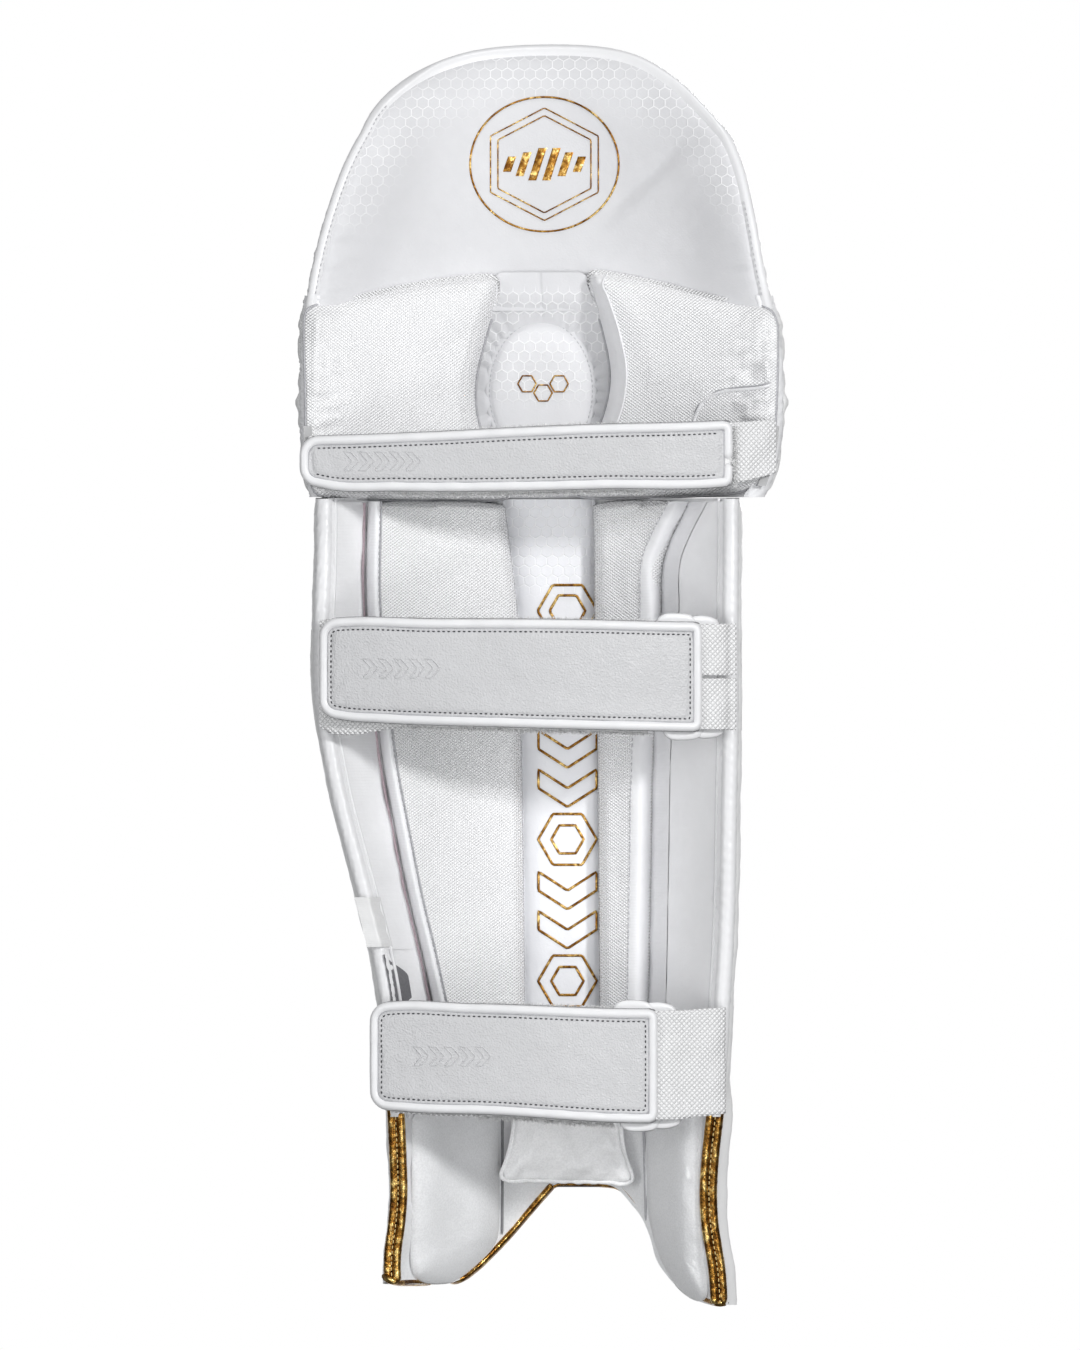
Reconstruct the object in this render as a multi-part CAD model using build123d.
from build123d import *
import math
import os

# Cricket batting leg pad (legguard) for a right leg, worn on the front of the shin and knee.
# Frame: millimetres, +Z up along the leg, +Y towards the struck front face, -Y towards the
# wearer's calf, +X towards the outer side of the leg. The origin is on the leg's axis at the
# height of the middle of the knee cup.
# The pad is a C-shaped shell of foam and cloth layers. Every layer is given in the plan of a
# base surface: an offset t along the plan normal, positive to the front and negative to the leg.

# ---------------------------------------------------------------- driving dimensions
PAD_TOP = 200.0            # top of the top hat above the knee centre
PAD_BOTTOM = -538.0        # tip of the longer, outer foot flap
HAT_SEAM = 50.0            # seam between the knee section and the top hat
KNEE_BOTTOM = -66.0        # seam between the knee section and the shin section
ARCH_TOP = -470.0          # top of the arch over the shoe
GAP = 0.8                  # air left between layers that only lie on each other
LINING_T = 1.6             # lining cloth with its scrim
BOARD_T = 5.0              # EVA backing board behind the rolls
ROLL_T = 12.5              # height of a shin roll above the backing board
ROLL_PITCH = 29.0          # width of a shin roll along the surface
N_ROLLS = 7
KNEE_ROLL_T = 24.0         # height of a knee roll above its board
HAT_T = 24.0               # full thickness of the top hat's foam
SHIN_BOLSTER_T = 24.0      # thickness of the two shin bolsters
KNEE_BOLSTER_T = 25.0      # thickness of the two knee bolsters
SKIN_T = 1.8               # bolster covers
STRAP_FACE_T = 1.6         # coated face of a strap
STRAP_CORE_T = 5.6         # foam of a strap with its rolled edge
HOOK_T = 1.2               # hook tape
LOOP_T = 3.0               # brushed loop strap under a cover strap
WEB_T = 1.8                # elastic webbing
EDGE_IN = 4.0              # base surface's rear edges inside the outline, for the wing's own thickness
HINGE_OUT = 3.0            # strap hinge outside the rear edge, along X
HINGE_BACK = 8.0           # strap hinge behind the rear edge, along -Y

# ---------------------------------------------------------------- outline tables, (z, value)
XL = [(205, -40), (198.3, -50.3), (189, -64.9), (176.1, -80.7), (166.7, -91.5), (148, -106), (129.3, -115.8),
      (110.6, -122.8), (91.8, -128.7), (73.1, -133.4), (54.4, -136.9), (38, -138.6), (14.6, -139.2),
      (-8.8, -139.2), (-32.2, -138.6), (-55.6, -135.6), (-66, -133), (-102.4, -131), (-137.5, -132),
      (-184.3, -131.6), (-210.6, -127.5), (-242.8, -121), (-277.9, -111.7), (-307.1, -104.1),
      (-330.5, -98.3), (-359.8, -93), (-394.9, -90.1), (-425.9, -87.8), (-453.4, -86.6),
      (-473.8, -86.2), (-491.4, -87.6), (-506, -89.6), (-517.7, -90.1), (-540, -88)]
XR = [(205, 48), (198.3, 57.9), (190.1, 70.8), (176.1, 88), (166.7, 97.3), (148, 110.6), (129.3, 118.6),
      (110.6, 123.2), (91.8, 127), (73.1, 130.2), (54.4, 134), (38, 137.6), (14.6, 139.6), (-8.8, 139.8),
      (-32.2, 138.6), (-55.6, 133), (-66, 128)]
XR_SHIN = [(-60, 114.6), (-102.4, 114.4), (-137.5, 114.1), (-207.7, 114.1), (-242.8, 113.3),
           (-301.3, 112.3), (-330.5, 111.1), (-359.8, 109.4), (-394.9, 107.6), (-425.9, 104.7),
           (-453.4, 101.8), (-473.8, 100.8), (-491.4, 101.8), (-506, 104.1), (-517.7, 105.9), (-540, 107.5)]
XL_SHIN = [(-60, -130.6), (-102.4, -130.8)] + [p for p in XL if p[0] < -110]
XC = [(205, 10), (120, 6), (49.7, 2.3), (-8.8, 2.3), (-67.3, 5.3), (-125.8, 9.4), (-213.5, 11.7),
      (-359.8, 12.3), (-540, 12.3)]
YF = [(205, 66), (150, 63), (50, 62), (0, 62), (-66, 58), (-200, 55), (-360, 52), (-420, 52), (-480, 56), (-540, 64)]
DEP = [(205, 7), (198, 9.5), (189, 15), (176, 24), (166.7, 31), (148, 42), (129, 50), (110, 55), (73, 61),
       (50, 66), (38, 72), (14, 84), (-9, 90), (-66, 92)]
DEP_SHIN = [(-60, 96), (-102, 103), (-200, 105), (-300, 104), (-380, 100), (-430, 92), (-480, 84), (-540, 80)]


def lut(table, z):
    """Smooth value of a (z, value) table: a cubic through the points, flat beyond the ends."""
    t = sorted(table)
    if z <= t[0][0]:
        return t[0][1]
    if z >= t[-1][0]:
        return t[-1][1]
    for i in range(len(t) - 1):
        z0, v0 = t[i]
        z1, v1 = t[i + 1]
        if z0 <= z <= z1:
            h = z1 - z0
            d = (v1 - v0) / h
            m0 = d if i == 0 else 0.5 * (d + (v0 - t[i - 1][1]) / (z0 - t[i - 1][0]))
            m1 = d if i + 2 >= len(t) else 0.5 * (d + (t[i + 2][1] - v1) / (t[i + 2][0] - z1))
            s = (z - z0) / h
            return ((2 * s**3 - 3 * s**2 + 1) * v0 + (s**3 - 2 * s**2 + s) * h * m0
                    + (-2 * s**3 + 3 * s**2) * v1 + (s**3 - s**2) * h * m1)
    return t[-1][1]


class Zone:
    """The base surface of one section of the pad."""

    def __init__(self, xl, xr, dep, power):
        self.xl_t, self.xr_t, self.dep_t, self.power = xl, xr, dep, power

    def xl(self, z):
        return lut(self.xl_t, z) + EDGE_IN

    def xr(self, z):
        return lut(self.xr_t, z) - EDGE_IN

    def xi(self, x, z):
        xc = lut(XC, z)
        return (x - xc) / (self.xr(z) - xc) if x >= xc else (x - xc) / (xc - self.xl(z))

    def y(self, x, z):
        return lut(YF, z) - lut(self.dep_t, z) * abs(self.xi(x, z)) ** self.power

    def normal(self, x, z):
        e = 0.2
        s = (self.y(x + e, z) - self.y(x - e, z)) / (2 * e)
        n = math.hypot(s, 1)
        return -s / n, 1 / n

    def at(self, x, z, t):
        nx, ny = self.normal(x, z)
        return x + t * nx, self.y(x, z) + t * ny

    def under(self, x_seen, z, t):
        """The base x whose point at offset t stands at x_seen."""
        x = x_seen
        for _ in range(12):
            x = x_seen - t * self.normal(x, z)[0]
        return x


HAT = Zone(XL, XR, DEP, 2.2)
KNEE = Zone(XL, XR, DEP, 2.3)
SHIN = Zone(XL_SHIN, XR_SHIN, DEP_SHIN, 2.4)


def steps(a, b, n):
    return [a + (b - a) * i / (n - 1) for i in range(n)]


def section(zone, z, x0, x1, t_in, t_out, n):
    """A closed wire at height z: outer curve, side, inner curve, side."""
    xs = steps(x0, x1, n)
    outer = [Vector(*zone.at(x, z, t_out(x, z)), z) for x in xs]
    inner = [Vector(*zone.at(x, z, t_in(x, z)), z) for x in reversed(xs)]
    return Wire([Edge.make_spline(outer), Edge.make_line(outer[-1], inner[0]),
                 Edge.make_spline(inner), Edge.make_line(inner[-1], outer[0])])


def slab(zone, zs, x0, x1, t_in, t_out, n=13, ruled=False):
    """A layer of the pad between two heights, with any outline in x and any thickness."""
    def fn(v):
        return v if callable(v) else (lambda *a: v)
    a, b, ti, to = fn(x0), fn(x1), fn(t_in), fn(t_out)
    return Solid.make_loft([section(zone, z, a(z), b(z), ti, to, n) for z in zs], ruled)


def bar(points, u, v, hu, hv, ruled=False):
    """A bar of rectangular section along a path; u and v are the section's directions at each point."""
    wires = []
    for p, du, dv in zip(points, u, v):
        p, du, dv = Vector(*p), Vector(*du) * hu, Vector(*dv) * hv
        wires.append(Wire.make_polygon([p - du - dv, p + du - dv, p + du + dv, p - du + dv], close=True))
    return Solid.make_loft(wires, ruled)


def save(name, *solids):
    shape = solids[0] if len(solids) == 1 else Compound(children=list(solids))
    export_step(shape, f"parts/{name}.step")


os.makedirs("parts", exist_ok=True)

# ---------------------------------------------------------------- shin section
FOAM_BACK = LINING_T + GAP                       # offsets measured from the base to the front
BOARD_0 = GAP
ROLL_0 = BOARD_0 + BOARD_T + GAP                 # back of the rolls' foam
ROLL_HALF_SPAN = N_ROLLS * ROLL_PITCH / 2


def arc_table(zone, z, n=160):
    """(x, arc length from the middle) along the base at height z."""
    a, b = zone.xl(z), zone.xr(z)
    xs = steps(a, b, n)
    acc, out = 0.0, []
    for i, x in enumerate(xs):
        if i:
            acc += math.hypot(xs[i] - xs[i - 1], zone.y(xs[i], z) - zone.y(xs[i - 1], z))
        out.append((x, acc))
    xc = lut(XC, z)
    mid = lut(out, xc)
    return [(x, s - mid) for x, s in out]


_arc = {}


def arc_of(zone, x, z):
    key = (id(zone), round(z, 3))
    if key not in _arc:
        _arc[key] = arc_table(zone, z)
    t = _arc[key]
    if x <= t[0][0]:
        return t[0][1] - (t[0][0] - x) * 2
    if x >= t[-1][0]:
        return t[-1][1] + (x - t[-1][0]) * 2
    lo, hi = 0, len(t) - 1
    while hi - lo > 1:
        m = (lo + hi) // 2
        if t[m][0] <= x:
            lo = m
        else:
            hi = m
    f = (x - t[lo][0]) / (t[hi][0] - t[lo][0])
    return t[lo][1] + f * (t[hi][1] - t[lo][1])


def x_of_arc(zone, s, z):
    arc_of(zone, 0, z)
    t = _arc[(id(zone), round(z, 3))]
    lo, hi = 0, len(t) - 1
    if s <= t[0][1]:
        return t[0][0]
    if s >= t[-1][1]:
        return t[-1][0]
    while hi - lo > 1:
        m = (lo + hi) // 2
        if t[m][1] <= s:
            lo = m
        else:
            hi = m
    f = (s - t[lo][1]) / (t[hi][1] - t[lo][1])
    return t[lo][0] + f * (t[hi][0] - t[lo][0])


def roll_span(z):
    """The rolls narrow with the pad towards the ankle."""
    full = min(-arc_of(SHIN, SHIN.xl(z), z), arc_of(SHIN, SHIN.xr(z), z))
    return min(ROLL_HALF_SPAN, full - 34)


def roll_height(x, z, inset=0.0):
    """Height of the rolls' scallops above ROLL_0 at x."""
    half = roll_span(z)
    s = arc_of(SHIN, x, z)
    if abs(s) >= half:
        return 0.6
    k = (s + half) / (2 * half) * N_ROLLS
    f = abs((k % 1.0) - 0.5) * 2
    return 0.6 + (ROLL_T - 0.6) * (1 - f ** 2.4)


SHIN_ZS = [-66.5, -90, -120, -160, -200, -240, -280, -320, -360, -400, -440, -470]
FACE_T = 1.8


def wing_t(x, z):
    """Front offset of the side wings: thinner towards their rear edges."""
    e = min(1.0, abs(SHIN.xi(x, z)))
    return 14.5 - 8.0 * e ** 3


def edge_x(zone, z, side, inset=3.0):
    """Base x a little inside the rear edge."""
    s = arc_of(zone, zone.xr(z) if side > 0 else zone.xl(z), z)
    return x_of_arc(zone, s - side * inset, z)


def roll_x(z, side, extra=0.0):
    return x_of_arc(SHIN, side * (roll_span(z) + extra), z)


# coated face over the seven rolls: a scalloped sheet, from the knee to the top of the arch
def scallop(zs, x0, x1, n):
    return slab(SHIN, zs, x0, x1,
                lambda x, z: ROLL_0 + GAP + roll_height(x, z),
                lambda x, z: ROLL_0 + GAP + roll_height(x, z) + FACE_T, n)


save("shin_facing", scallop(SHIN_ZS, lambda z: roll_x(z, -1, 0.2), lambda z: roll_x(z, 1, 0.2), 71))

# one foam rod in each roll
rods = []
for i in range(N_ROLLS):
    def rod_x(z, f, i=i):
        return x_of_arc(SHIN, -roll_span(z) + 2 * roll_span(z) * (i + f) / N_ROLLS, z)
    rods.append(slab(SHIN, [-68, -120, -200, -280, -360, -430, -468],
                     lambda z: rod_x(z, 0.14), lambda z: rod_x(z, 0.86), ROLL_0 + 0.3,
                     lambda x, z: ROLL_0 + roll_height(x, z) - 1.8, 11))
save("shin_rods", *rods)

# EVA board behind the rolls and under the wings
save("shin_backing", slab(SHIN, SHIN_ZS, lambda z: edge_x(SHIN, z, -1, 5), lambda z: edge_x(SHIN, z, 1, 5),
                          BOARD_0, BOARD_0 + BOARD_T, 17))
# lining cloth on the leg side
save("shin_lining", slab(SHIN, SHIN_ZS, lambda z: edge_x(SHIN, z, -1, 4), lambda z: edge_x(SHIN, z, 1, 4),
                         -LINING_T, 0, 17))

# side wings in front of the board, outside the rolls
for name, side in (("inner_wing", -1), ("outer_wing", 1)):
    lo = (lambda z: edge_x(SHIN, z, -1, 3.4)) if side < 0 else (lambda z: roll_x(z, 1, 1.2))
    hi = (lambda z: roll_x(z, -1, 1.2)) if side < 0 else (lambda z: edge_x(SHIN, z, 1, 3.4))
    save(name, slab(SHIN, SHIN_ZS, lo, hi, ROLL_0, wing_t, 9))

# stiff plastic plate in the outer wing, between lining and wing lining panel
PLATE_ZS = [-80, -140, -220, -300, -380]
save("outer_wing_stiffener", slab(SHIN, PLATE_ZS, lambda z: edge_x(SHIN, z, 1, 42), lambda z: edge_x(SHIN, z, 1, 10),
                                  -LINING_T - GAP - 1.5, -LINING_T - GAP, 7))
outer_lining = (slab(SHIN, [-70, -120, -200, -280, -360, -420], lambda z: edge_x(SHIN, z, 1, 46),
                               lambda z: edge_x(SHIN, z, 1, 6), -LINING_T - 2 * GAP - 1.5 - 2.2,
                               -LINING_T - 2 * GAP - 1.5, 7))
save("wing_linings", outer_lining,
     slab(SHIN, [-70, -120, -180, -240, -300, -350], lambda z: edge_x(SHIN, z, -1, 6),
          lambda z: edge_x(SHIN, z, -1, 18), -LINING_T - GAP - 1.2, -LINING_T - GAP, 9))

# ---------------------------------------------------------------- shin bolsters and gutter
LB_L = [(-70.2, -101.8), (-125.8, -102.4), (-184.3, -97.1), (-219.4, -93), (-260.3, -85.4), (-301.3, -77.2),
        (-330.5, -70.2), (-359.8, -63.8), (-415, -52)]
LB_R = [(-70.2, -21), (-135.1, -14.5), (-207.7, -12.2), (-277.9, -11), (-359.8, -10), (-415, -9.5)]
RB_L = [(-70.2, 31), (-135.1, 32), (-207.7, 33.6), (-277.9, 34.3), (-359.8, 34.9), (-415, 35)]
RB_R = [(-70.2, 74), (-102.4, 70), (-132.8, 69.5), (-207.7, 65), (-277.9, 63.8), (-359.8, 62.6), (-415, 60)]
FACE_OFF = -LINING_T - GAP - SHIN_BOLSTER_T      # leg-side face of a shin bolster


def crown(zone, x, z, x0, x1, deep, edge):
    """Leg-side offset of a bolster: full in the middle and rounded down to its long edges."""
    f = abs((x - x0) / (x1 - x0) * 2 - 1)
    return -(edge + (deep - edge) * (1 - min(1.0, f) ** 3.2) ** 0.6)


def bolster(zone, name, zs, xa, xb, back, thick, edge, n=13):
    """A foam block with its cover skin on the leg side."""
    def lo(z):
        return zone.under(xa(z), z, -back - thick * 0.5)

    def hi(z):
        return zone.under(xb(z), z, -back - thick * 0.5)
    deep = back + thick
    save(name + "_foam", slab(zone, zs, lo, hi,
                              lambda x, z: crown(zone, x, z, lo(z), hi(z), deep, back + edge), -back, n))
    save(name + "_cover", slab(zone, zs, lo, hi,
                               lambda x, z: crown(zone, x, z, lo(z), hi(z), deep, back + edge) - 1.6 * GAP - SKIN_T,
                               lambda x, z: crown(zone, x, z, lo(z), hi(z), deep, back + edge) - 1.6 * GAP, n))


SB_ZS = [-70, -100, -135, -180, -230, -280, -330, -375, -412]
bolster(SHIN, "left_shin_bolster", SB_ZS, lambda z: lut(LB_L, z), lambda z: lut(LB_R, z),
        LINING_T + GAP + 1.6, SHIN_BOLSTER_T, 12)
bolster(SHIN, "right_shin_bolster", SB_ZS, lambda z: lut(RB_L, z), lambda z: lut(RB_R, z),
        LINING_T + GAP + 5.6, SHIN_BOLSTER_T, 12)
save("gutter_panel", slab(SHIN, [-68, -120, -200, -280, -360, -418], lambda z: SHIN.under(lut(LB_R, z) + 2.5, z, -12),
                          lambda z: SHIN.under(lut(RB_L, z) - 2.5, z, -12), -LINING_T - GAP - 8, -LINING_T - GAP, 7))

# ---------------------------------------------------------------- knee section
KNEE_ZS = [-65.5, -50, -35, -15, 5, 25, 40, 48.5]
save("knee_backing", slab(KNEE, KNEE_ZS, lambda z: edge_x(KNEE, z, -1, 5), lambda z: edge_x(KNEE, z, 1, 5),
                          BOARD_0, BOARD_0 + BOARD_T, 17))
save("knee_lining", slab(KNEE, KNEE_ZS, lambda z: edge_x(KNEE, z, -1, 4), lambda z: edge_x(KNEE, z, 1, 4),
                         -LINING_T, 0, 17))

ROLLS_Z = [("knee_roll_lower", -65.5, -28.6), ("knee_roll_middle", -28.0, 10.0), ("knee_roll_upper", 10.6, 48.5)]
cores = []
KNEE_SKIN = 2.0


def roll_bump(x, z, z0, z1, t):
    """Radial height of a knee roll, round in section and tapering to the rear edges."""
    f = abs((z - z0) / (z1 - z0) * 2 - 1)
    e = min(1.0, abs(KNEE.xi(x, z)))
    taper = 1 - 0.85 * e ** 3.4
    return t * taper * max(0.0, 1 - f ** 2.4) ** 0.5


for name, z0, z1 in ROLLS_Z:
    h = z1 - z0
    zs = [z0 + h * f for f in (0.0, 0.06, 0.16, 0.32, 0.5, 0.68, 0.84, 0.94, 1.0)]
    save(name, slab(KNEE, zs, lambda z: edge_x(KNEE, z, -1, 3), lambda z: edge_x(KNEE, z, 1, 3),
                    lambda x, z: ROLL_0 + max(0.4, roll_bump(x, z, z0, z1, KNEE_ROLL_T - 1.5)) + GAP,
                    lambda x, z: ROLL_0 + max(0.4, roll_bump(x, z, z0, z1, KNEE_ROLL_T - 1.5)) + GAP + KNEE_SKIN, 19))
    zc = [z0 + h * f for f in (0.05, 0.16, 0.32, 0.5, 0.68, 0.84, 0.95)]
    cores.append(slab(KNEE, zc, lambda z: edge_x(KNEE, z, -1, 8), lambda z: edge_x(KNEE, z, 1, 8), ROLL_0,
                      lambda x, z: ROLL_0 + max(1.0, roll_bump(x, z, z0, z1, KNEE_ROLL_T - 1.5) - 0.9), 19))
save("knee_roll_cores", *cores)

# knee bolsters: thick at their inner edge, thin where they are gathered into the rear edge
KL_TOP = [(-142, 38.5), (-123.4, 46.3), (-100, 53.9), (-70.8, 60.9), (-41.5, 65), (-24, 64.4)]
KL_R = [(64.4, -24.5), (60.3, -24), (49.7, -25.2), (32.2, -31), (8.8, -37.4), (-8.8, -38.6), (-26.3, -35.7),
        (-43.9, -26), (-61.4, -18.5), (-66.7, -19.3)]
KR_TOP = [(26, 66.5), (46.2, 65.6), (69.6, 60.9), (93, 53.9), (116.4, 47.5), (142, 38.7)]
KR_L = [(67.3, 26.5), (52.6, 30.5), (32.2, 36.8), (8.8, 41.2), (-8.8, 39.8), (-26.3, 33.6), (-43.9, 25), (-61.4, 19.5),
        (-65.5, 21)]


def x_on_top(table, z, side):
    """x at which the slanted top edge of a knee bolster passes height z."""
    pts = sorted(table)
    a, b = (pts[0][0], pts[-1][0])
    if side < 0:
        x = a
        while x < b and lut(pts, x) < z:
            x += 0.5
        return x
    x = b
    while x > a and lut(pts, x) < z:
        x -= 0.5
    return x


KB_ZS = [-65, -52, -36, -18, 0, 12, 22, 31, 38, 44, 50, 56, 62]


def kb_left(z):
    e = edge_x(KNEE, z, -1, 5)
    return e if z < 38.6 else max(e, KNEE.under(x_on_top(KL_TOP, z, -1), z, -8))


def kb_right(z):
    e = edge_x(KNEE, z, 1, 5)
    return e if z < 38.8 else min(e, KNEE.under(x_on_top(KR_TOP, z, 1), z, -8))


def knee_bolster(name, x0, x1, inner):
    back = LINING_T + GAP + 11.5 + 2 * GAP + 2.4
    def deep(x, z):
        e = min(1.0, abs(KNEE.xi(x, z)))
        f = max(0.0, min(1.0, (x - inner(z)) * (1 if x > 0 else -1) / 14.0))
        thick = 3.0 + (KNEE_BOLSTER_T - 3.0) * (1 - e ** 5) ** 0.8
        return thick * (0.62 + 0.38 * math.sqrt(max(0.0, 1 - (1 - f) ** 2)))
    def tight(x, z):
        """The back of the bolster follows the lining and comes down to it near the rear edge."""
        e = min(1.0, abs(KNEE.xi(x, z)))
        t = LINING_T + GAP + (back - LINING_T - GAP) * max(0.0, 1 - e ** 4)
        clear = max(0.0, min(1.0, (z - 14) / 34))      # the bolster's top stands clear of the top hat
        return t + max(0.0, 18.5 - t) * clear * clear * (3 - 2 * clear)
    lo = x0 if name.startswith("left") else (lambda z: KNEE.under(x0(z), z, -30))
    hi = (lambda z: KNEE.under(x1(z), z, -30)) if name.startswith("left") else x1
    save(name + "_foam", slab(KNEE, KB_ZS, lo, hi, lambda x, z: -tight(x, z) - deep(x, z),
                              lambda x, z: -tight(x, z), 15, True))
    save(name + "_cover", slab(KNEE, KB_ZS, lo, hi, lambda x, z: -tight(x, z) - deep(x, z) - 2.0 * GAP - SKIN_T,
                               lambda x, z: -tight(x, z) - deep(x, z) - 2.0 * GAP, 15, True))


knee_bolster("left_knee_bolster", kb_left, lambda z: lut(KL_R, z), lambda z: lut(KL_R, z))
knee_bolster("right_knee_bolster", lambda z: lut(KR_L, z), kb_right, lambda z: lut(KR_L, z))

# knee cup: an oval locator pad between the knee bolsters, on a gathered cloth surround
CUP_X, CUP_Z, CUP_A, CUP_B = 0.0, -3.0, 33.0, 44.0
CUP_ZS = [CUP_Z + CUP_B * f for f in (-0.985, -0.9, -0.7, -0.4, 0, 0.4, 0.7, 0.9, 0.985)]
S_BACK = LINING_T + GAP


def cup_w(z, grow=0.0):
    return (CUP_A + grow) * math.sqrt(max(0.0, 1 - ((z - CUP_Z) / (CUP_B + grow)) ** 2))


def cup_t(x, z):
    r2 = ((x - CUP_X) / CUP_A) ** 2 + ((z - CUP_Z) / CUP_B) ** 2
    return 2.0 + 7.0 * math.sqrt(max(0.0, 1 - min(1.0, r2) ** 2))


CUP_FOAM_ZS = [CUP_Z + (CUP_B - 2) * f for f in (-0.985, -0.9, -0.7, -0.4, 0, 0.4, 0.7, 0.9, 0.985)]
save("knee_cup_foam", slab(KNEE, CUP_FOAM_ZS, lambda z: CUP_X - cup_w(z, -2), lambda z: CUP_X + cup_w(z, -2),
                           lambda x, z: -S_BACK - 2.4 - GAP - cup_t(x, z), -S_BACK - 2.4 - GAP, 11))
save("knee_cup_cover", slab(KNEE, CUP_ZS, lambda z: CUP_X - cup_w(z), lambda z: CUP_X + cup_w(z),
                            lambda x, z: -S_BACK - 2.4 - 3 * GAP - cup_t(x, z) - 1.4,
                            lambda x, z: -S_BACK - 2.4 - 3 * GAP - cup_t(x, z), 11))
# cloth surround behind the cup, from the shin gutter up over the hat seam
SUR_ZS = [-65, -40, -10, 20, 48.5]
save("knee_cup_surround", slab(KNEE, SUR_ZS, -62, 62, -S_BACK - 2.4, -S_BACK, 11))

# ---------------------------------------------------------------- top hat
HAT_ZS = [51.0, 60, 75, 95, 115, 135, 152, 167, 179, 187, PAD_TOP - 7]


def hat_fill(x, z):
    """Half thickness of the top hat's foam, rounded down towards its rim."""
    e = min(1.0, abs(HAT.xi(x, z)))
    top = max(0.0, min(1.0, (z - 120) / (PAD_TOP + 2 - 120)))
    return 3.0 + (HAT_T / 2 - 3.0) * (1 - e ** 5) ** 0.7 * (1 - top ** 4) ** 0.7


save("top_hat_foam", slab(HAT, HAT_ZS[:-2] + [184, 189], lambda z: HAT.xl(z) + 5.2, lambda z: HAT.xr(z) - 5.2,
                          lambda x, z: 1 - hat_fill(x, z), lambda x, z: 1 + hat_fill(x, z), 17))
save("top_hat_facing", slab(HAT, HAT_ZS, lambda z: HAT.xl(z) + 3, lambda z: HAT.xr(z) - 3,
                            lambda x, z: 1 + hat_fill(x, z) + GAP, lambda x, z: 1 + hat_fill(x, z) + GAP + 2, 17))
save("top_hat_lining", slab(HAT, HAT_ZS, lambda z: HAT.xl(z) + 3, lambda z: HAT.xr(z) - 3,
                            lambda x, z: 1 - hat_fill(x, z) - GAP - LINING_T,
                            lambda x, z: 1 - hat_fill(x, z) - GAP, 17))


def rim(zone, zs, side, inset, half_out, half_t, t_mid):
    """A folded binding along one rear edge, as a bar of rectangular section."""
    pts, us, vs = [], [], []
    for z in zs:
        xb = zone.xr(z) if side > 0 else zone.xl(z)
        nx, ny = zone.normal(xb - side * 0.5, z)
        px, py = xb + t_mid * nx + side * ny * inset, zone.y(xb, z) + t_mid * ny - side * nx * inset
        pts.append((px, py, z))
        us.append((side * ny, -side * nx, 0))
        vs.append((nx, ny, 0))
    return bar(pts, us, vs, half_out, half_t)


HAT_RIM_ZS = [52, 70, 90, 110, 130, 145, 158, 169, 178, 186]


def hat_arch():
    """The binding goes round the top of the hat: the path is the outline itself."""
    left = [(HAT.xl(z), z) for z in HAT_RIM_ZS]
    right = [(HAT.xr(z), z) for z in reversed(HAT_RIM_ZS)]
    top = [(-50, 194.5), (-30, 198.0), (8, 199.2), (38, 198.2), (57, 194.5)]
    path = left + top + right
    pts, us, vs = [], [], []
    n = len(path)
    for i, (x, z) in enumerate(path):
        a, b = path[max(0, i - 1)], path[min(n - 1, i + 1)]
        tx, tz = b[0] - a[0], b[1] - a[1]
        tl = math.hypot(tx, tz)
        tx, tz = tx / tl, tz / tl
        ox, oz = -tz, tx                       # out of the hat, in the XZ plane
        zz = min(z, 200.0)
        nx, ny = HAT.normal(x, zz)
        # out direction laid into the surface: out = (ox, slope * ox, oz)
        slope = -nx / ny
        o = Vector(ox, slope * ox, oz).normalized()
        tangent = Vector(tx, slope * tx, tz).normalized()
        nn = o.cross(tangent).normalized()
        c = Vector(x, HAT.y(x, zz), z) + Vector(nx, ny, 0) * 1.0 - o * 0.2
        pts.append(tuple(c))
        us.append(tuple(o))
        vs.append(tuple(nn))
    return bar(pts, us, vs, 2.0, 4.2)


save("top_hat_binding", hat_arch())

# ---------------------------------------------------------------- foot flaps and arch
ARCH_L = [(-470, -4), (-478, -13), (-490, -25), (-500, -34), (-512, -46), (-520, -55), (-526, -62)]
ARCH_R = [(-470, 46), (-480, 54), (-490, 62), (-502, 66.5), (-512, 69.5), (-522, 76), (-531, 85), (-538, 98)]
LF_ZS = [-470.5, -480, -490, -500, -508, -515, -521, -525]
RF_ZS = [-470.5, -480, -490, -500, -510, -518, -525, -531, -535.5, -538]


def left_out(z):
    t = max(0.0, (-z - 508) / 17.0)
    return edge_x(SHIN, z, -1, 3) + 6 * t ** 3


def right_out(z):
    return edge_x(SHIN, z, 1, 3)


def flap(zs, x0, x1, t0, t1):
    return slab(SHIN, zs, x0, x1, t0, t1, 9)


def arch_left(z):
    return lut(ARCH_L, z) - 4.0


def arch_right(z):
    return lut(ARCH_R, z) + 4.0


save("foot_flap_facing", flap(LF_ZS, left_out, arch_left, 9.0 + GAP, 9.0 + GAP + FACE_T),
     flap(RF_ZS, arch_right, right_out, 9.0 + GAP, 9.0 + GAP + FACE_T))
save("foot_flap_foam", flap(LF_ZS, left_out, arch_left, GAP, 9.0), flap(RF_ZS, arch_right, right_out, GAP, 9.0))

# ankle pads on the leg side of the flaps
LA_ZS = [-430, -445, -465, -485, -502, -514, -521]
RA_ZS = [-430, -445, -465, -485, -502, -514, -524, -531]


def ankle(name, zs, x0, x1, back, thick):
    back += 1.0
    save(name, slab(SHIN, zs, lambda z: SHIN.under(x0(z), z, -back - 6), lambda z: SHIN.under(x1(z), z, -back - 6),
                    lambda x, z: crown(SHIN, x, z, SHIN.under(x0(z), z, -back - 6), SHIN.under(x1(z), z, -back - 6),
                                       back + thick, back + thick * 0.45), -back, 13))


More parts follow.
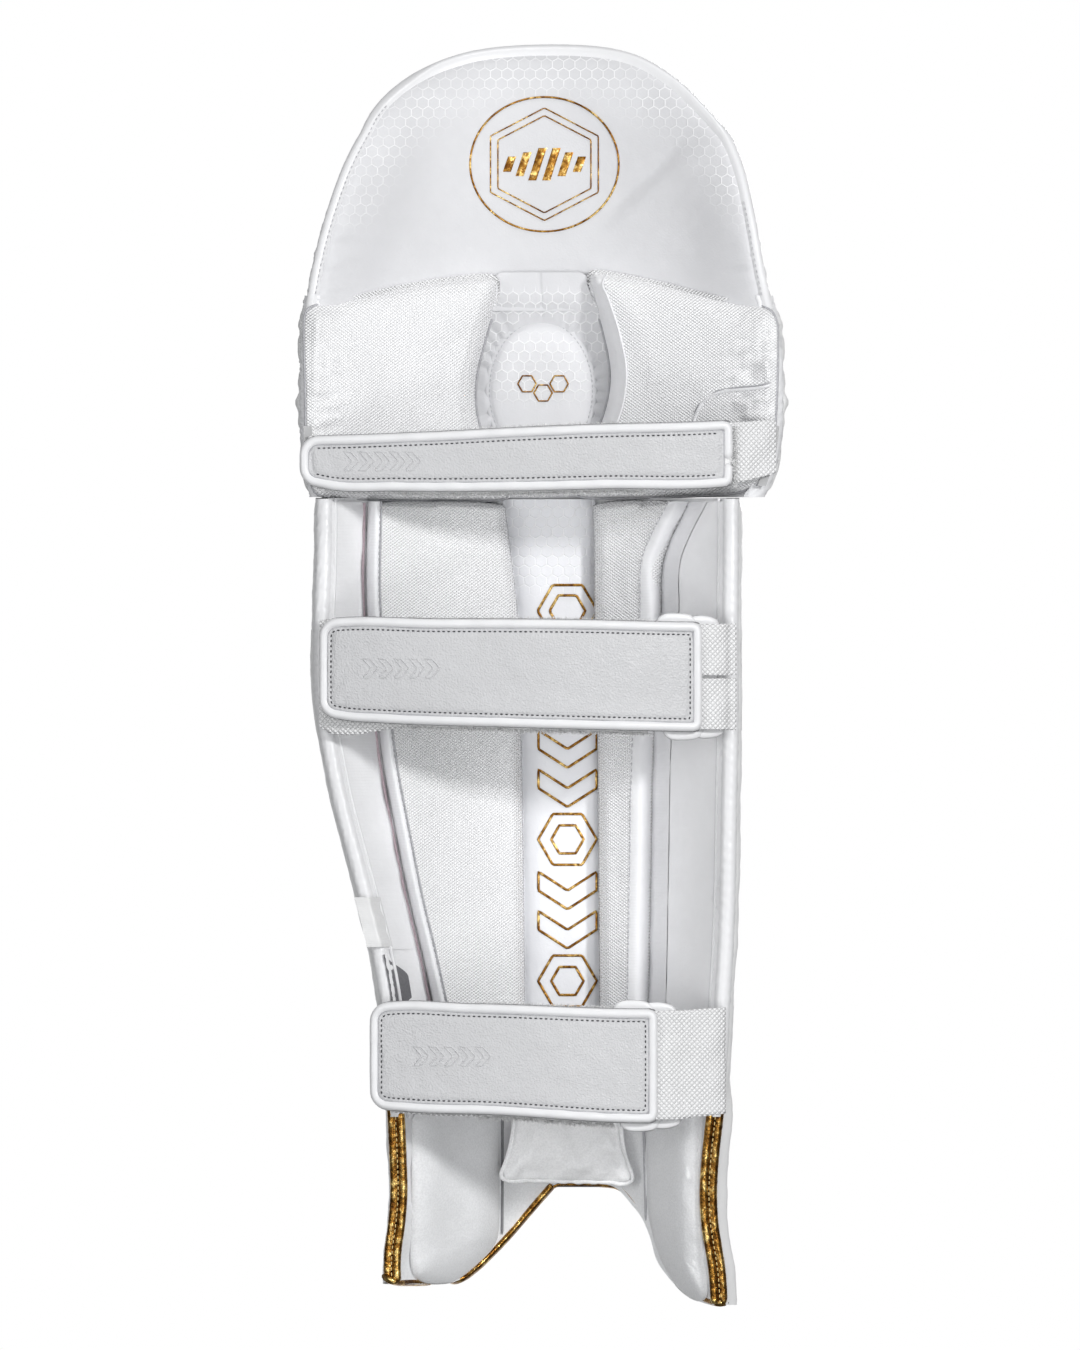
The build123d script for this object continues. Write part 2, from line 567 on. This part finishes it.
ankle("left_ankle_pad", LA_ZS, lambda z: lut([(-430, -72), (-470, -73.5), (-500, -75.5), (-521, -75)], z),
      lambda z: min(-25.5, lut(ARCH_L, z) - 1.0), LINING_T + GAP, 15)
ankle("right_ankle_pad", RA_ZS, lambda z: lut([(-430, 63), (-480, 63), (-505, 69), (-520, 76), (-531, 86)], z),
      lambda z: lut([(-430, 90), (-455, 88), (-475, 88), (-500, 91), (-531, 95)], z), LINING_T + GAP, 15)
# lining between the ankle pads, over the arch
save("instep_lining", slab(SHIN, [-421, -440, -460, -470], -24, 62, -LINING_T - GAP - 2.0, -LINING_T - GAP, 9))

# gold bindings of the foot: both rear edges and the arch
edge_bindings = [rim(SHIN, [-428, -450, -470, -490, -505, -516, -523], -1, 0.6, 2.6, 7.0, 4.0),
                 rim(SHIN, [-428, -450, -470, -490, -505, -518, -530, -537], 1, 0.6, 2.6, 7.0, 4.0)]


def arch_bar(table, zs, side):
    pts, us, vs = [], [], []
    for z in zs:
        x = lut(table, z)
        nx, ny = SHIN.normal(x, z)
        d = (lut(table, z + 0.5) - lut(table, z - 0.5))
        o = Vector(side * 1.0, 0, -side * d).normalized() if abs(d) < 50 else Vector(0, 0, -1)
        px, py = SHIN.at(x, z, 5.0)
        pts.append((px + o.X * 1.9, py, z + o.Z * 1.9))
        us.append(tuple(o))
        vs.append((nx * 0.2, 1.0, 0))
    return bar(pts, us, vs, 1.3, 5.0)


save("foot_binding", *edge_bindings, arch_bar(ARCH_L, [-473, -480, -488, -497, -506, -515, -522], 1),
     arch_bar(ARCH_R, [-473, -481, -489, -497, -505, -512], -1))

# white piping of the shell's rear edges
save("side_piping",
     rim(SHIN, [-68, -110, -160, -210, -260, -310, -360, -426], -1, -0.4, 2.0, 4.0, 1.0),
     rim(SHIN, [-68, -110, -160, -210, -260, -310, -360, -426], 1, -0.4, 2.0, 4.0, 1.0),
     rim(KNEE, [-64, -40, -10, 20, 48.5], -1, -0.4, 2.0, 4.0, 1.0),
     rim(KNEE, [-64, -40, -10, 20, 48.5], 1, -0.4, 2.0, 4.0, 1.0))

# woven care label, folded over the inner wing's rear edge
LZ = [-299.5, -306, -313, -320, -327.5]
save("care_label", slab(SHIN, LZ, lambda z: edge_x(SHIN, z, -1, 7), lambda z: edge_x(SHIN, z, -1, 19),
                        -LINING_T - 2 * GAP - 1.2 - 0.8, -LINING_T - 2 * GAP - 1.2, 5))

# ---------------------------------------------------------------- straps
# name, zone, mid height, half height, left end x, face end x, loop strap end x, bulge
STRAPS = [("knee", KNEE, -41.5, 18.5, -141.5, 112.0, 62.0, 14.0),
          ("calf", SHIN, -172.5, 30.5, -134.0, 90.0, 66.0, 20.0),
          ("ankle", SHIN, -393.5, 31.0, -97.5, 66.0, 44.0, 14.0)]
hinges = {}


def plan_bar(path, ts0, ts1, zb, zt):
    """A strap piece: path points in plan with normals, thickness from ts0 to ts1 towards the leg."""
    wires = []
    for i, ((x, y), (nx, ny)) in enumerate(path):
        a0, a1 = ts0, ts1
        p = [(x + nx * a0, y + ny * a0), (x + nx * a1, y + ny * a1)]
        b, t = zb(x), zt(x)
        wires.append(Wire.make_polygon([Vector(*p[0], b), Vector(*p[0], t), Vector(*p[1], t), Vector(*p[1], b)], close=True))
    return Solid.make_loft(wires, False)


def strap_path(x_from, x_to, hl, hr, bulge, n):
    """Plan of a strap's outside face between the two hinge points, arched away from the leg."""
    xm, hw = (hl[0] + hr[0]) / 2, (hr[0] - hl[0]) / 2
    out = []
    for x in steps(x_from, x_to, n):
        f = (x - xm) / hw
        yl = hl[1] + (hr[1] - hl[1]) * (f + 1) / 2
        y = yl - bulge * (1 - f * f) - 9.0
        s = 2 * bulge * f / hw + (hr[1] - hl[1]) / (2 * hw)
        n_ = math.hypot(s, 1)
        out.append(((x, y), (-s / n_, 1 / n_)))
    return out


right_anchors, left_anchors = [], []
for name, zone, zm, hh, x_end, x_face, x_loop, bulge in STRAPS:
    hr = (zone.xr(zm) + HINGE_OUT, zone.y(zone.xr(zm), zm) - HINGE_BACK)
    hl = (zone.xl(zm) - HINGE_OUT, zone.y(zone.xl(zm), zm) - HINGE_BACK)
    hinges[name] = (hl, hr)
    print("hinge", name, "left", [round(v, 2) for v in hl], "right", [round(v, 2) for v in hr])
    lo, hi = (lambda x, z=zm, h=hh: z - h), (lambda x, z=zm, h=hh: z + h)
    sl, sh = (lambda x, z=zm, h=hh: z - h + 5), (lambda x, z=zm, h=hh: z + h - 5)
    body = strap_path(x_end, x_face, hl, hr, bulge, 11)
    inner = strap_path(x_end + 6, x_face - 5, hl, hr, bulge, 11)
    # coated face panel, set inside the rolled edge of the core
    save(f"{name}_strap_face", plan_bar(inner, -GAP - STRAP_FACE_T, -GAP, sl, sh))
    save(f"{name}_strap_core", plan_bar(body, 0, STRAP_CORE_T, lo, hi))
    hook = (plan_bar(strap_path(x_end + 10, (x_end + x_face) / 2, hl, hr, bulge, 6),
                                        STRAP_CORE_T + GAP, STRAP_CORE_T + GAP + HOOK_T,
                                        lambda x, z=zm, h=hh: z - h + 8, lambda x, z=zm, h=hh: z + h - 8))
    # webbing from the core's end to the hinge at the outer rear edge
    if name == "calf":
        bands = [(zm - hh, zm - 0.6), (zm + 0.6, zm + hh)]
    else:
        bands = [(zm - hh + 1, zm + hh - 1)]
    web_path = strap_path(x_face + 0.6, hr[0] - 1.5, hl, hr, bulge, 5)
    save(f"{name}_strap_webbing", *[plan_bar(web_path, 1.4, 1.4 + WEB_T, lambda x, b=b: b[0], lambda x, b=b: b[1])
                                    for b in bands])
    # rounded keeper tab behind the joint of core and webbing
    tab = strap_path(x_face - 8, min(x_face + 14, hr[0] - 4), hl, hr, bulge, 5)
    save(f"{name}_strap_backing", hook, plan_bar(tab, STRAP_CORE_T + GAP, STRAP_CORE_T + GAP + 2.0,
                                       lambda x, z=zm, h=hh: z - h - 4, lambda x, z=zm, h=hh: z + h + 4))
    # loop strap under the cover strap, on its own elastic webbing from the inner rear edge
    t0 = STRAP_CORE_T + GAP + HOOK_T + GAP
    loop_x0 = hl[0] + 52
    save(f"{name}_loop_strap", plan_bar(strap_path(loop_x0, x_loop, hl, hr, bulge, 9), t0 + 1.0, t0 + 1.0 + LOOP_T,
                                        lambda x, z=zm, h=hh: z - h + 2, lambda x, z=zm, h=hh: z + h - 2))
    save(f"{name}_loop_webbing", plan_bar(strap_path(hl[0] + 6.5, loop_x0 - 0.6, hl, hr, bulge, 5), t0 + 0.4,
                                          t0 + 0.4 + WEB_T, lambda x, z=zm, h=hh: z - h + 2,
                                          lambda x, z=zm, h=hh: z + h - 2))
    # fixed ends of the webbings, sewn on the outside of the wings
    for side, bag in ((1, right_anchors), (-1, left_anchors)):
        def outer_t(x, z):
            if zone is SHIN:
                return wing_t(x, z) + GAP
            return ROLL_0 + 24.5
        if zone is KNEE:
            # sewn on the rear edge itself, between the piping and the roll ends
            zs = [zm - hh + 1, zm, zm + hh - 1]
            pts = [(zone.xr(z) if side > 0 else zone.xl(z), z) for z in zs]
            ws = []
            for x, z in pts:
                y = zone.y(x, z) - 5.2
                ws.append(Wire.make_polygon([Vector(x - side * 1.0, y, z), Vector(x + side * 4.0, y, z),
                                             Vector(x + side * 4.0, y - WEB_T, z), Vector(x - side * 1.0, y - WEB_T, z)], close=True))
            bag.append(Solid.make_loft(ws, False))
        else:
            zs = [zm - hh + 1, zm, zm + hh - 1]
            x0 = (lambda z, s=side: edge_x(SHIN, z, s, 34 if s > 0 else 4)) if side > 0 else (lambda z: edge_x(SHIN, z, -1, 4))
            x1 = (lambda z: edge_x(SHIN, z, 1, 4)) if side > 0 else (lambda z: edge_x(SHIN, z, -1, 34))
            bag.append(slab(SHIN, zs, x0, x1, outer_t, lambda x, z: outer_t(x, z) + WEB_T, 7))
save("strap_anchors", *right_anchors, *left_anchors)

# ---------------------------------------------------------------- instep pad
IP_X0, IP_X1, IP_TOP, IP_BOT, IP_T = -20.0, 51.0, -423.0, -468.0, 12.0
IP_Y = lut(YF, -440) - 17.5
ip_pts = [(15.5, IP_Y - 6 - 0.05 * (IP_TOP - z), z) for z in (IP_TOP, -430, -440, -450, -460, IP_BOT)]
ip_w = [0.86, 0.9, 0.93, 0.97, 1.0, 1.0]
ip_h = [0.55, 0.85, 1.0, 1.0, 0.85, 0.4]
ws, cs = [], []
for (x, y, z), w, h in zip(ip_pts, ip_w, ip_h):
    a, b = (IP_X1 - IP_X0) / 2 * w, IP_T / 2 * h
    ws.append(Wire.make_polygon([Vector(x - a, y - b, z), Vector(x + a, y - b, z),
                                 Vector(x + a, y - b - 1.5, z), Vector(x - a, y - b - 1.5, z)], close=True))
    cs.append(Wire.make_polygon([Vector(x - a, y - b + GAP, z), Vector(x + a, y - b + GAP, z), Vector(x + a, y + b, z),
                                 Vector(x - a, y + b, z)], close=True))
save("instep_pad_cover", Solid.make_loft(ws, False))
save("instep_pad_foam", Solid.make_loft(cs, False))
print("instep hinge y", round(IP_Y, 2), "hat seam y", round(lut(YF, 50), 2))
print("done")
